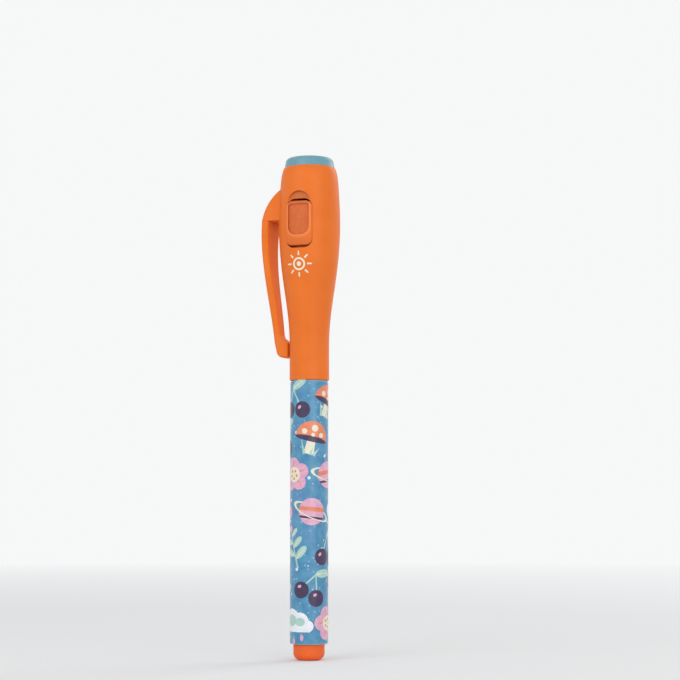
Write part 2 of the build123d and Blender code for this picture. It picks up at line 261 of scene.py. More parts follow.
# Cap: the same plastic, with painted shade over the thumb scoop and a darker painted shadow under its brim
capShell = dict(
    orangeShell,
    hollowShadeColour=(202, 112, 58),
    hollowShadeStrength=0.85,
    brimShade=(184, 84, 30),
    brimStrength=0.5,
    brimStart=2.1 * mm,        # the shade runs from here out to the brim
    scoopRound=3.3 * mm,
    scoopMiddle=122.32 * mm,
    scoopLow=123.4 * mm,
)


def capFinish(name, look):
    finish = mouldedPlastic(name, look)
    place = parts(finish, coordsOf(finish))
    above = mathNode(finish, "SUBTRACT", place["Z"], look["scoopMiddle"])
    distance = flatLength(finish, place["X"], mathNode(finish, "MAXIMUM", above))
    scoop = product(
        finish,
        mathNode(finish, "LESS_THAN", distance, look["scoopRound"]),
        mathNode(finish, "GREATER_THAN", place["Z"], look["scoopLow"]),
        mathNode(finish, "LESS_THAN", place["Y"]),
    )
    # painted shade: the whole thumb scoop is coloured duller and darker, as a recess in shadow
    recolour(finish, product(finish, scoop, look["hollowShadeStrength"]), tint(*look["hollowShadeColour"]))
    # painted shadow: darker still towards the brim of the scoop
    brim = spread(finish, distance, look["brimStart"], look["scoopRound"], 0.0, look["brimStrength"])
    recolour(finish, product(finish, scoop, brim), tint(*look["brimShade"]))
    return finish


# Clip: the same plastic, with painted light on the side that faces the cap, lighter and yellower there in
# place of light coming through it
orangeClip = dict(
    orangeShell,
    shade=(230, 118, 48),
    light=(238, 126, 55),
    innerLightColour=(248, 140, 38),
    innerSpan=(0.3, 0.8),      # how far a face looks towards the cap
    sockets={"IOR": 1.5, "Specular IOR Level": 0.04},
)


def clipFinish(name, look):
    finish = mouldedPlastic(name, look)
    facing = parts(finish, coordsOf(finish, "Normal"))
    # painted light: faces turned towards the cap get a lighter colour
    inner = spread(finish, facing["X"], *look["innerSpan"], 0.0, 1.0)
    recolour(finish, inner, tint(*look["innerLightColour"]))
    return finish


# Press button: the same plastic, darker in the sunk finger pad, with a painted highlight on a rim round the
# pad and painted shade on its lower end
buttonPlastic = dict(
    orangeShell,
    roughness=(0.4, 0.5),
    padTone={"shade": (206, 102, 50), "light": (216, 110, 58)},
    padMottle=800.0,
    padDetail=4.0,
    padRound=2.32 * mm,        # lower corners of the pad
    padFlat=0.7 * mm,          # from the middle to where the corners begin
    padLow=115.92 * mm,
    rimHighlightColour=(246, 140, 84),
    rimWidth=0.95 * mm,
    rimStrength=0.9,
    heelShadeColour=(220, 112, 52),
    heelHigh=114.0 * mm,
    heelLow=111.6 * mm,
)


def buttonFinish(name, look):
    finish = mouldedPlastic(name, look)
    place = parts(finish, coordsOf(finish))
    side = mathNode(finish, "ABSOLUTE", place["X"])
    side = mathNode(finish, "MAXIMUM", mathNode(finish, "SUBTRACT", side, look["padFlat"]))
    below = mathNode(finish, "MAXIMUM", mathNode(finish, "SUBTRACT", look["padLow"], place["Z"]))
    distance = flatLength(finish, side, below)
    # painted shade: the lower end of the button, which faces down, is coloured darker
    heel = spread(finish, place["Z"], look["heelHigh"], look["heelLow"], 0.0, 1.0)
    recolour(finish, heel, tint(*look["heelShadeColour"]))
    # painted highlight: a pale band round the pad, which also lightens the pad's shaded wall
    rimEnd = look["padRound"] + look["rimWidth"]
    rim = spread(finish, distance, look["padRound"], rimEnd, look["rimStrength"], 0.0)
    recolour(finish, rim, tint(*look["rimHighlightColour"]))
    mottle = noise(finish, coordsOf(finish), look["padMottle"], look["padDetail"])
    pad = mathNode(finish, "LESS_THAN", distance, look["padRound"])
    recolour(finish, pad, ramp(finish, mottle, look["padTone"]))
    return finish


# Bonded fibre: streaks along the pen
def bondedFibre(name, look):
    finish, shader, coords = startFinish(name)
    setSockets(shader, look["sockets"])
    along = stretched(finish, coords, look["streak"])
    strands = noise(finish, along, look["strandScale"], look["strandDetail"])
    join(finish, ramp(finish, strands, look), shader.inputs["Base Color"])
    join(finish, spread(finish, strands, *noiseSpan, *look["roughness"]), shader.inputs["Roughness"])
    join(finish, bump(finish, strands, look["depthStrength"], look["depth"]), shader.inputs["Normal"])
    return finish


fibreWhite = {
    "shade": (214, 210, 198),
    "light": (240, 238, 230),
    "streak": (1.0, 1.0, 0.04),
    "strandScale": 5200.0,
    "strandDetail": 5.0,
    "roughness": (0.78, 0.92),
    "depthStrength": 0.5,
    "depth": 0.05 * mm,
    "sockets": {"Sheen Weight": 0.15},
}


# Rolled, plated and tinned metal: fine lines in one direction
def drawnMetal(name, look):
    finish, shader, coords = startFinish(name)
    setSockets(shader, {"Metallic": 1.0})
    along = stretched(finish, coords, look["streak"])
    lines = noise(finish, along, look["lineScale"], look["lineDetail"])
    spots = noise(finish, coords, look["spotScale"], look["spotDetail"])
    join(finish, ramp(finish, spots, look), shader.inputs["Base Color"])
    join(finish, spread(finish, lines, *noiseSpan, *look["roughness"]), shader.inputs["Roughness"])
    join(finish, bump(finish, lines, look["lineStrength"], look["lineDepth"]), shader.inputs["Normal"])
    return finish


cellSteel = {
    "shade": (186, 187, 188),
    "light": (206, 206, 205),
    "streak": (1.0, 0.06, 1.0),
    "lineScale": 4200.0,
    "lineDetail": 4.0,
    "lineStrength": 0.15,
    "lineDepth": 0.01 * mm,
    "spotScale": 500.0,
    "spotDetail": 3.0,
    "roughness": (0.2, 0.36),
}
tinnedWire = dict(cellSteel, shade=(188, 188, 186), light=(208, 208, 204), streak=(1.0, 1.0, 0.1))
springBrass = dict(cellSteel, shade=(196, 158, 86), light=(214, 176, 104), streak=(1.0, 1.0, 0.08))
screwZinc = dict(cellSteel, shade=(160, 162, 166), light=(186, 186, 184), streak=(1.0, 1.0, 1.0))
# painted shade: the screw's cross recess is coloured dark grey, as if in shadow
recessShadeZinc = dict(screwZinc, shade=(58, 60, 64), light=(78, 80, 84), roughness=(0.5, 0.65))


# Printed film on the barrel: a watery blue wash with pale specks of two sizes
printCoat = {"IOR": 1.5, "Coat Weight": 0.25, "Coat Roughness": 0.12}


def specks(finish, coords, look):
    cells = addNode(finish, "ShaderNodeTexVoronoi", Scale=look["scale"], Randomness=1.0)
    join(finish, coords, cells.inputs["Vector"])
    dots = spread(finish, cells.outputs["Distance"], look["edge"], look["core"], 0.0, look["strength"])
    pick = addNode(finish, "ShaderNodeSeparateColor")
    join(finish, cells.outputs["Color"], pick.inputs["Color"])
    chosen = mathNode(finish, "GREATER_THAN", pick.outputs["Red"], 1.0 - look["share"])
    return product(finish, dots, chosen)


def filmWash(name, look):
    finish, shader, coords = startFinish(name)
    setSockets(shader, printCoat)
    wash = noise(finish, coords, look["washScale"], look["washDetail"])
    colour = ramp(finish, wash, look, look["washSpan"])
    drift = noise(finish, coords, look["driftScale"], look["driftDetail"])
    drift = spread(finish, drift, *look["driftSpan"], 0.0, look["driftStrength"])
    colour = overlay(finish, drift, colour, tint(*look["violet"]))
    for layer in look["specks"]:
        colour = overlay(finish, specks(finish, coords, layer), colour, tint(*layer["colour"]))
    join(finish, colour, shader.inputs["Base Color"])
    join(finish, spread(finish, wash, *noiseSpan, *look["roughness"]), shader.inputs["Roughness"])
    grain = noise(finish, coords, look["grainScale"])
    join(finish, bump(finish, grain, look["grainStrength"], look["grainDepth"]), shader.inputs["Normal"])
    return finish


filmBlue = {
    "shade": (58, 130, 173),
    "light": (87, 153, 188),
    "violet": (112, 142, 198),
    "washScale": 420.0,
    "washDetail": 5.0,
    "washSpan": (0.32, 0.68),
    "driftScale": 150.0,
    "driftDetail": 3.0,
    "driftSpan": (0.52, 0.75),
    "driftStrength": 0.5,
    "roughness": (0.28, 0.38),
    "grainScale": 5200.0,
    "grainStrength": 0.12,
    "grainDepth": 0.02 * mm,
    "specks": [
        {
            "scale": 900.0,
            "edge": 0.27,
            "core": 0.1,
            "strength": 0.6,
            "share": 0.5,
            "colour": (190, 218, 238),
        },
        {
            "scale": 330.0,
            "edge": 0.17,
            "core": 0.11,
            "strength": 0.95,
            "share": 0.7,
            "colour": (228, 240, 250),
        },
    ],
}


# Printed inks: flat colour broken by a little paper-like mottling
inkPaper = {
    "mottleScale": 900.0,
    "mottleDetail": 5.0,
    "roughness": (0.28, 0.38),
}


def printInk(name, look):
    finish, shader, coords = startFinish(name)
    setSockets(shader, printCoat)
    mottle = noise(finish, coords, inkPaper["mottleScale"], inkPaper["mottleDetail"])
    join(finish, ramp(finish, mottle, look), shader.inputs["Base Color"])
    join(finish, spread(finish, mottle, *noiseSpan, *inkPaper["roughness"]), shader.inputs["Roughness"])
    return finish


inkLooks = {
    "pink": {"shade": (216, 158, 188), "light": (232, 180, 204)},
    "cream": {"shade": (226, 222, 196), "light": (240, 236, 216)},
    "mint": {"shade": (160, 200, 190), "light": (182, 216, 204)},
    "coral": {"shade": (226, 122, 86), "light": (238, 142, 104)},
    "plum": {"shade": (52, 36, 72), "light": (66, 48, 88)},
    "white": {"shade": (228, 234, 240), "light": (242, 246, 250)},
}
inks = {name: printInk(name + "Ink", look) for name, look in inkLooks.items()}

finishes = {
    "capShell": (capFinish, capShell, ["cap_shell"]),
    "orangeShell": (mouldedPlastic, orangeShell, ["battery_door"]),
    "orangeClip": (clipFinish, orangeClip, ["pocket_clip"]),
    "orangePlug": (mouldedPlastic, orangePlug, ["end_plug"]),
    "buttonPlastic": (buttonFinish, buttonPlastic, ["light_button"]),
    "barrelBlue": (mouldedPlastic, barrelBlue, ["barrel_tube"]),
    "filmBlue": (filmWash, filmBlue, ["printed_wrap"]),
    "sectionWhite": (mouldedPlastic, sectionWhite, ["nib_section"]),
    "linerNatural": (mouldedPlastic, linerNatural, ["inner_cap"]),
    "carrierBlack": (mouldedPlastic, carrierBlack, ["battery_carrier"]),
    "lensTeal": (mouldedPlastic, lensTeal, ["lens"]),
    "clearCast": (mouldedPlastic, clearCast, ["uv_led"]),
    "clearFilm": (mouldedPlastic, clearFilm, ["reservoir_film"]),
    "fibreWhite": (bondedFibre, fibreWhite, ["ink_reservoir", "nib"]),
    "cellSteel": (drawnMetal, cellSteel, ["button_cell_1", "button_cell_2", "button_cell_3"]),
    "tinnedWire": (drawnMetal, tinnedWire, ["led_leads"]),
    "springBrass": (drawnMetal, springBrass, ["positive_contact", "switch_leaf"]),
    "screwZinc": (drawnMetal, screwZinc, ["door_screw"]),
    "recessShadeZinc": (drawnMetal, recessShadeZinc, []),
}
madeFinishes = {}
for name, (maker, look, owners) in finishes.items():
    finish = maker(name, look)
    madeFinishes[name] = finish
    for owner in owners:
        penNodes[owner].data.materials.clear()
        penNodes[owner].data.materials.append(finish)
print("finishes:", len(finishes), "and", len(inks), "inks")


# Small helpers for modelling, on the active object
def clearSelection():
    bpy.ops.object.select_all(action="DESELECT")


def editMode(action):
    # action selects all points of the mesh or none
    bpy.ops.object.mode_set(mode="EDIT")
    bpy.ops.mesh.select_all(action=action)


def objectMode():
    bpy.ops.object.mode_set(mode="OBJECT")


def clearPicks():
    editMode("DESELECT")
    objectMode()


def applyPlace():
    bpy.ops.object.transform_apply(location=True, rotation=True, scale=True)


def roundEdges(radius, segments):
    # the edges that are picked
    bpy.ops.object.mode_set(mode="EDIT")
    bpy.ops.mesh.select_mode(type="EDGE")
    bpy.ops.mesh.bevel(offset=radius, segments=segments)
    bpy.ops.mesh.select_mode(type="VERT")
    objectMode()


def shapeAll(size=(1, 1, 1), turn=0.0, centre=(0, 0, 0)):
    editMode("SELECT")
    bpy.ops.transform.resize(value=size, center_override=centre)
    if turn:
        bpy.ops.transform.rotate(value=math.radians(turn), orient_axis="Y", center_override=centre)
    objectMode()


def cutAway(height, normal):
    # keeps the side that the normal points away from
    editMode("SELECT")
    bpy.ops.mesh.bisect(plane_co=(0, 0, height * mm), plane_no=normal, clear_outer=True)
    objectMode()


def cutBands(places, normal):
    # cuts that take nothing away, so that a flat sheet can be rolled or bent
    for place in places:
        editMode("SELECT")
        bpy.ops.mesh.bisect(plane_co=[place * part for part in normal], plane_no=normal)
    objectMode()


def joinShapes(name, shapes):
    clearSelection()
    for shape in shapes:
        shape.select_set(True)
    bpy.context.view_layer.objects.active = shapes[0]
    bpy.ops.object.join()
    shapes[0].name = name
    return shapes[0]


# Flat shapes for the prints, drawn in X and Z and facing -Y; what a shape is given is in millimetres
printWrap = {
    "radius": 5.125 * mm,       # just outside the film
    "layerStep": 0.006 * mm,    # each ink over the one before
    "ink": 0.012 * mm,
    "low": 5.0 * mm,
    "high": 74.0 * mm,
    "rows": 7,
    "columns": 3,
    "rowSkip": 3,               # steps on in the list of motifs
    "columnSkip": 2,
    "turns": [12, -8, 0, 20, -16, 6, -4],
    "stepSize": 0.4 * mm,       # width of a facet when the sheet is rolled
    "size": 1.65,
}
up = (0, 0, 1)
down = (0, 0, -1)


def flatPlace(x, z, layer):
    return (x * mm, -layer * printWrap["layerStep"], z * mm)


def placeApplied(shape, ink):
    applyPlace()
    shape.data.materials.append(inks[ink])
    return shape


def disc(ink, x, z, radius, layer=0, size=(1, 1, 1), turn=0.0, sides=28):
    clearSelection()
    place = flatPlace(x, z, layer)
    bpy.ops.mesh.primitive_circle_add(
        vertices=sides, radius=radius * mm, fill_type="NGON", location=place, rotation=(math.pi / 2, 0, 0)
    )
    shape = placeApplied(bpy.context.object, ink)
    shapeAll(size, turn, place)
    return shape


def hoop(ink, x, z, radius, band, layer=0, size=(1, 1, 1), turn=0.0, sides=40):
    shape = disc(ink, x, z, radius, layer, sides=sides)
    editMode("SELECT")
    bpy.ops.mesh.inset(thickness=band * mm)
    bpy.ops.mesh.delete(type="FACE")
    objectMode()
    shapeAll(size, turn, flatPlace(x, z, layer))
    return shape


def strip(ink, x, z, width, height, layer=0, topShare=1.0, turn=0.0):
    # upright bar from its foot at x, z, narrowed at the top
    clearSelection()
    place = flatPlace(x, z, layer)
    bpy.ops.mesh.primitive_plane_add(size=1, location=place, rotation=(math.pi / 2, 0, 0))
    bar = placeApplied(bpy.context.object, ink)
    shapeAll((width * mm, 1, height * mm), 0, place)
    editMode("SELECT")
    bpy.ops.transform.translate(value=(0, 0, height * mm / 2))
    bpy.ops.mesh.subdivide(number_cuts=3)
    objectMode()
    for vertex in bar.data.vertices:
        rise = (vertex.co.z - place[2]) / (height * mm)
        vertex.co.x = place[0] + (vertex.co.x - place[0]) * (1 + (topShare - 1) * rise)
    shapeAll(turn=turn, centre=place)
    return bar


def uprightBands(sheet, step):
    widest = max(abs(vertex.co.x) for vertex in sheet.data.vertices)
    bands = math.ceil(widest / step)
    cutBands([band * step for band in range(-bands, bands + 1)], (1, 0, 0))


def thicken(sheet, thickness, offset):
    # offset 1 goes outwards, 0 to both sides
    solid = sheet.modifiers.new("thickness", "SOLIDIFY")
    solid.thickness = thickness
    solid.offset = offset
    bpy.ops.object.modifier_apply(modifier=solid.name)


planetLook = {
    "ball": 2.2,
    "ring": 3.5,
    "ringBand": 0.55,
    "ringSquash": (1, 1, 0.3),
    "tilt": -18,
    "stripe": (0.1, 0.75),      # lower and upper edge
    "belt": (-1.15, -0.8),
}


def planetBand(ink, low, high):
    band = disc(ink, 0, 0, planetLook["ball"], layer=4)
    cutAway(high, up)
    cutAway(low, down)
    return band


def ringedPlanet():
    ring = (0, 0, planetLook["ring"], planetLook["ringBand"])
    back = hoop("cream", *ring, size=planetLook["ringSquash"], turn=planetLook["tilt"])
    ball = disc("pink", 0, 0, planetLook["ball"], layer=2)
    stripe = planetBand("coral", *planetLook["stripe"])
    belt = planetBand("plum", *planetLook["belt"])
    front = hoop("cream", *ring, layer=6, size=planetLook["ringSquash"])
    cutAway(0, up)
    shapeAll(turn=planetLook["tilt"])
    return joinShapes("planetFlat", [back, ball, stripe, belt, front])


cloudLook = {
    # discs have x, z and radius, strips x, z, width and height
    "puffs": [(-2.1, -0.2, 1.25), (-0.5, 0.6, 1.75), (1.3, 0.3, 1.45), (2.6, -0.45, 0.95)],
    "base": (0.2, -1.4, 5.4, 1.3),
    "hollows": [(-0.5, 0.45, 1.15), (1.3, 0.2, 0.85)],
    "hollowSquash": (1, 1, 0.8),
    "drops": [(-1.5, -2.2, 0.3), (0.0, -2.9, 0.3), (1.6, -2.3, 0.3)],
    "dropStretch": (1, 1, 1.7),
}


def cloudPuff():
    pieces = [disc("white", *puff, layer=number) for number, puff in enumerate(cloudLook["puffs"])]
    pieces.append(strip("white", *cloudLook["base"], layer=4))
    for hollow in cloudLook["hollows"]:
        pieces.append(disc("mint", *hollow, layer=5, size=cloudLook["hollowSquash"]))
    for drop in cloudLook["drops"]:
        pieces.append(disc("pink", *drop, size=cloudLook["dropStretch"]))
    return joinShapes("cloudFlat", pieces)


toadstoolLook = {
    "stem": (0, -2.7, 1.7, 3.0),
    "stemTop": 0.7,
    "hat": (0, -0.2, 2.9),
    "frillSquash": (1, 1, 0.16),
    "spots": [(-1.4, 0.8, 0.45), (0.2, 1.6, 0.55), (1.5, 0.7, 0.4), (0.1, 0.5, 0.3)],
    "blades": [(-0.7, -2.8, 0.5, 2.1), (0.8, -2.8, 0.5, 1.7), (0.3, -2.8, 0.45, 1.3)],
    "bladeTurns": [24, -28, -8],
    "bladeTop": 0.1,
}


def toadstool():
    pieces = [strip("cream", *toadstoolLook["stem"], topShare=toadstoolLook["stemTop"])]
    pieces.append(disc("coral", *toadstoolLook["hat"], layer=2))
    cutAway(toadstoolLook["hat"][1], down)
    pieces.append(disc("plum", *toadstoolLook["hat"], layer=3, size=toadstoolLook["frillSquash"]))
    for spot in toadstoolLook["spots"]:
        pieces.append(disc("cream", *spot, layer=4))
    for blade, turn in zip(toadstoolLook["blades"], toadstoolLook["bladeTurns"]):
        pieces.append(strip("mint", *blade, layer=1, topShare=toadstoolLook["bladeTop"], turn=turn))
    return joinShapes("toadstoolFlat", pieces)


sprigLook = {
    "stalk": (0, -3.2, 0.34, 6.4),
    "stalkTop": 0.4,
    # height, side and reach
    "leaves": [(-1.7, 1, 1.35), (-1.1, -1, 1.35), (0.2, 1, 1.15), (0.8, -1, 1.15), (2.0, 1, 0.9)],
    "leafOut": 0.9,             # shares of a leaf's reach
    "leafUp": 0.55,
    "leafSquash": (1, 1, 0.44),
    "leafTurn": 32,
    "veinFoot": 0.1,
    "veinWidth": 0.16,
    "veinShare": 1.7,
    "veinTop": 0.3,
    "veinTurn": -58,
    "bud": (0, 3.3, 0.55),
}


def leafSprig():
    look = sprigLook
    pieces = [strip("mint", *look["stalk"], topShare=look["stalkTop"])]
    for height, side, reach in look["leaves"]:
        leaf = (side * reach * look["leafOut"], height + reach * look["leafUp"], reach)
        pieces.append(disc("mint", *leaf, layer=1, size=look["leafSquash"], turn=side * look["leafTurn"]))
        vein = (side * look["veinFoot"], height, look["veinWidth"], reach * look["veinShare"])
        pieces.append(strip("cream", *vein, layer=2, topShare=look["veinTop"], turn=side * look["veinTurn"]))
    pieces.append(disc("pink", *look["bud"], layer=2))
    return joinShapes("sprigFlat", pieces)


flowerLook = {
    "petals": 5,
    "firstPetal": 90,
    "petalReach": 1.55,
    "petalRadius": 1.25,
    "vein": (0, 1.1, 0.2, 1.2),
    "veinTop": 0.4,
    "eye": (0, 0, 1.25),
    "firstDot": 54,
    "dotReach": 0.65,
    "dotRadius": 0.22,
}


def around(reach, first, number):
    angle = math.radians(first + 360 / flowerLook["petals"] * number)
    return reach * math.cos(angle), reach * math.sin(angle)


def fivePetal():
    look = flowerLook
    pieces = []
    for number in range(look["petals"]):
        place = around(look["petalReach"], look["firstPetal"], number)
        pieces.append(disc("pink", *place, look["petalRadius"], layer=number))
        pieces.append(strip("coral", *look["vein"], layer=6, topShare=look["veinTop"]))
        shapeAll(turn=360 / look["petals"] * number)
    pieces.append(disc("cream", *look["eye"], layer=7))
    for number in range(look["petals"]):
        place = around(look["dotReach"], look["firstDot"], number)
        pieces.append(disc("coral", *place, look["dotRadius"], layer=8))
    return joinShapes("flowerFlat", pieces)


berryLook = {
    "stalks": [(-1.5, -0.9, 0.28, 3.4), (1.4, -1.3, 0.28, 3.7)],
    "stalkTurns": [-28, 23],
    "stalkTop": 0.8,
    "leaf": (1.3, 2.6, 1.5),
    "leafSquash": (1, 1, 0.45),
    "leafTurn": 24,
    "vein": (0.1, 2.05, 0.16, 2.3),
    "veinTop": 0.3,
    "veinTurn": -66,
    "berries": [(-1.5, -1.2, 1.35), (1.4, -1.6, 1.35)],
    "gleams": [(-1.9, -0.75, 0.34), (1.0, -1.15, 0.34)],
    "gleamSquash": (1, 1, 0.7),
    "gleamTurn": 40,
}


def berryPair():
    look = berryLook
    pieces = []
    for stalk, turn in zip(look["stalks"], look["stalkTurns"]):
        pieces.append(strip("mint", *stalk, topShare=look["stalkTop"], turn=turn))
    pieces.append(disc("mint", *look["leaf"], layer=1, size=look["leafSquash"], turn=look["leafTurn"]))
    pieces.append(strip("cream", *look["vein"], layer=2, topShare=look["veinTop"], turn=look["veinTurn"]))
    for number, berry in enumerate(look["berries"]):
        pieces.append(disc("plum", *berry, layer=3 + number))
    for gleam in look["gleams"]:
        pieces.append(disc("pink", *gleam, layer=5, size=look["gleamSquash"], turn=look["gleamTurn"]))
    return joinShapes("berriesFlat", pieces)


# Print on the barrel: the motifs in staggered rows on a flat sheet, which is then rolled round the film
motifs = [ringedPlanet(), toadstool(), cloudPuff(), leafSprig(), fivePetal(), berryPair()]
girth = 2 * math.pi * printWrap["radius"]
columnStep = girth / printWrap["columns"]
rowStep = (printWrap["high"] - printWrap["low"]) / printWrap["rows"]
turns = printWrap["turns"]
copies = []
for row in range(printWrap["rows"]):
    for column in range(printWrap["columns"]):
        pick = row * printWrap["rowSkip"] + column * printWrap["columnSkip"] + row // 2
        source = motifs[pick % len(motifs)]
        copy = source.copy()
        copy.data = source.data.copy()
        bpy.context.collection.objects.link(copy)
        side = -girth / 2 + (column + 0.5) * columnStep + (row % 2 - 0.5) * columnStep / 2
        height = printWrap["low"] + (row + 0.5) * rowStep
        copy.rotation_euler = (0, math.radians(turns[(row + 2 * column) % len(turns)]), 0)
        copy.location = (side, 0, height)
        copy.scale = (printWrap["size"], 1, printWrap["size"])
        copies.append(copy)
for motif in motifs:
    bpy.data.objects.remove(motif)
barrelPrint = joinShapes("barrelPrint", copies)
applyPlace()
uprightBands(barrelPrint, printWrap["stepSize"])
for vertex in barrelPrint.data.vertices:
    angle = vertex.co.x / printWrap["radius"]
    reach = printWrap["radius"] - vertex.co.y
    vertex.co = (reach * math.sin(angle), -reach * math.cos(angle), vertex.co.z)
thicken(barrelPrint, printWrap["ink"], offset=1.0)
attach(barrelPrint, "barrel")
print("barrel print:", len(copies), "motifs,", len(barrelPrint.data.polygons), "faces")


# Lamp sign under the button: a ring with short rays, laid on the cap
lampSign = {
    "height": 105.8 * mm,
    "start": -12.0 * mm,        # clear of the cap, before the sign is laid on
    "ring": 1.75,
    "band": 0.5,
    "dot": 0.62,
    "rays": 8,
    "ray": (0, 2.3, 0.5, 1.15),
    "rayTop": 0.7,
    "stepSize": 0.3 * mm,
    "lift": 0.012 * mm,
}
signShapes = [hoop("cream", 0, 0, lampSign["ring"], lampSign["band"]), disc("cream", 0, 0, lampSign["dot"])]
for number in range(lampSign["rays"]):
    signShapes.append(strip("cream", *lampSign["ray"], topShare=lampSign["rayTop"]))
    shapeAll(turn=360 / lampSign["rays"] * number)
capSign = joinShapes("capSign", signShapes)
uprightBands(capSign, lampSign["stepSize"])
capSign.location = (0, lampSign["start"], lampSign["height"])
applyPlace()
laid = capSign.modifiers.new("laidOnCap", "SHRINKWRAP")
laid.wrap_method = "PROJECT"
laid.use_project_y = True
laid.use_positive_direction = True
laid.use_negative_direction = False
laid.target = penNodes["cap_shell"]
laid.offset = lampSign["lift"]
bpy.ops.object.modifier_apply(modifier=laid.name)
thicken(capSign, printWrap["ink"], offset=1.0)
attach(capSign, "cap")
print("lamp sign:", len(capSign.data.polygons), "faces")


# Door screw with a cross recess and a real thread, in place of the plain one
screwLook = {
    "headRadius": 1.45 * mm,
    "headHeight": 0.6 * mm,
    "headRound": 0.18 * mm,
    "headRoundSteps": 4,
    "headSides": 48,
    "slotLength": 1.9 * mm,
    "slotWidth": 0.46 * mm,
    "slotDepth": 0.38 * mm,
    "slotTaper": 0.75,
    "core": 0.6 * mm,
    "coreSides": 32,
    "crest": 0.79 * mm,
    "threadRoot": 0.588 * mm,   # just inside the core
    "pitch": 0.42 * mm,
    "turns": 8,
    "turnSteps": 28,
    "tip": 0.4 * mm,
    "tipTaper": 0.4,
    "merge": 0.001 * mm,
}
screwLow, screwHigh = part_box("door_screw")
screwLength = screwHigh[1] - screwLow[1] - screwLook["headHeight"]
threadLow = -screwLength + screwLook["tip"]

clearSelection()
bpy.ops.mesh.primitive_cylinder_add(
    vertices=screwLook["headSides"], radius=screwLook["headRadius"], depth=screwLook["headHeight"],
    location=(0, 0, screwLook["headHeight"] / 2),
)
screwHead = bpy.context.object
screwHead.data.materials.append(madeFinishes["screwZinc"])
applyPlace()
clearPicks()
for edge in screwHead.data.edges:
    lowest = min(screwHead.data.vertices[number].co.z for number in edge.vertices)
    edge.select = lowest > screwLook["headHeight"] / 2
roundEdges(screwLook["headRound"], screwLook["headRoundSteps"])

slots = []
for turn in (0, 90):
    clearSelection()
    bpy.ops.mesh.primitive_cube_add(size=1, location=(0, 0, screwLook["headHeight"]))
    slot = bpy.context.object
    # the walls and floor of the recess get the painted shade
    slot.data.materials.append(madeFinishes["recessShadeZinc"])
    slot.scale = (screwLook["slotLength"], screwLook["slotWidth"], 2 * screwLook["slotDepth"])
    slot.rotation_euler = (0, 0, math.radians(turn))
    applyPlace()
    # the recess narrows towards its floor
    for vertex in slot.data.vertices:
        if vertex.co.z < screwLook["headHeight"]:
            vertex.co.x *= screwLook["slotTaper"]
            vertex.co.y *= screwLook["slotTaper"]
    slots.append(slot)
clearSelection()
bpy.context.view_layer.objects.active = screwHead
screwHead.select_set(True)
for slot in slots:
    cut = screwHead.modifiers.new("crossRecess", "BOOLEAN")
    cut.operation = "DIFFERENCE"
    cut.solver = "EXACT"
    cut.material_mode = "TRANSFER"
    cut.object = slot
    bpy.ops.object.modifier_apply(modifier=cut.name)
for slot in slots:
    bpy.data.objects.remove(slot)

clearSelection()
bpy.ops.mesh.primitive_cylinder_add(
    vertices=screwLook["coreSides"], radius=screwLook["core"], depth=screwLength,
    location=(0, 0, -screwLength / 2),
)
screwCore = bpy.context.object
screwCore.data.materials.append(madeFinishes["screwZinc"])
applyPlace()
# a ring of points above the tip keeps the core straight, and the end below it is narrowed
cutBands([threadLow], up)
for vertex in screwCore.data.vertices:
    if vertex.co.z < threadLow - screwLook["tip"] / 2:
        vertex.co.x *= screwLook["tipTaper"]
        vertex.co.y *= screwLook["tipTaper"]

clearSelection()
bpy.ops.mesh.primitive_plane_add(size=1, location=(0, 0, 0))
screwThread = bpy.context.object
screwThread.data.materials.append(madeFinishes["screwZinc"])
clearPicks()
screwThread.data.vertices[3].select = True
bpy.ops.object.mode_set(mode="EDIT")
bpy.ops.mesh.delete(type="VERT")
objectMode()
# of the three corners left, the first joins the others: it is the crest, with a flank to each side
crest, lowFlank, highFlank = screwThread.data.vertices
lowFlank.co = (screwLook["threadRoot"], 0, threadLow)
crest.co = (screwLook["crest"], 0, threadLow + screwLook["pitch"] / 2)
highFlank.co = (screwLook["threadRoot"], 0, threadLow + screwLook["pitch"])
helix = screwThread.modifiers.new("helix", "SCREW")
helix.screw_offset = screwLook["pitch"]
helix.iterations = screwLook["turns"] - 1
helix.steps = screwLook["turnSteps"]
helix.render_steps = screwLook["turnSteps"]
helix.use_merge_vertices = True
helix.merge_threshold = screwLook["merge"]
bpy.ops.object.modifier_apply(modifier=helix.name)
editMode("SELECT")
bpy.ops.mesh.normals_make_consistent(inside=False)
objectMode()

doorScrew = joinShapes("doorScrew", [screwHead, screwCore, screwThread])
bpy.ops.object.shade_smooth_by_angle(angle=smoothAngle)
seat = screwHigh[1] - screwLook["headHeight"]
doorScrew.rotation_euler = (-math.pi / 2, 0, 0)
doorScrew.location = (0, seat, (screwLow[2] + screwHigh[2]) / 2)
applyPlace()
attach(doorScrew, "door")
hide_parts("door_screw")
print("door screw:", len(doorScrew.data.polygons), "faces")


# Switch leaf of spring brass in place of the rigid one: a thin strip bent out into a hump towards the button
leafLook = {
    "width": 3.4 * mm,
    "thickness": 0.2 * mm,
    "back": 4.1,                # free end of the foot, then the bends up to the tip: y and z in millimetres
    "bends": [(-3.81, 109.36), (-3.81, 111.21), (-4.75, 115.81), (-4.75, 117.83), (-4.35, 120.55)],
    "bendRound": 0.35 * mm,
    "bendSteps": 5,
    "bandStep": 0.4 * mm,
}
footFront, footHeight = leafLook["bends"][0]
tipHeight = leafLook["bends"][-1][1] * mm
footMiddle = (leafLook["back"] + footFront) / 2
clearSelection()
bpy.ops.mesh.primitive_plane_add(size=1, location=(0, footMiddle * mm, footHeight * mm))
switchLeaf = bpy.context.object
switchLeaf.name = "switchLeaf"
switchLeaf.scale = (leafLook["width"], (leafLook["back"] - footFront) * mm, 1)
applyPlace()
clearPicks()
for vertex in switchLeaf.data.vertices:
    vertex.select = vertex.co.y < 0
bpy.ops.object.mode_set(mode="EDIT")
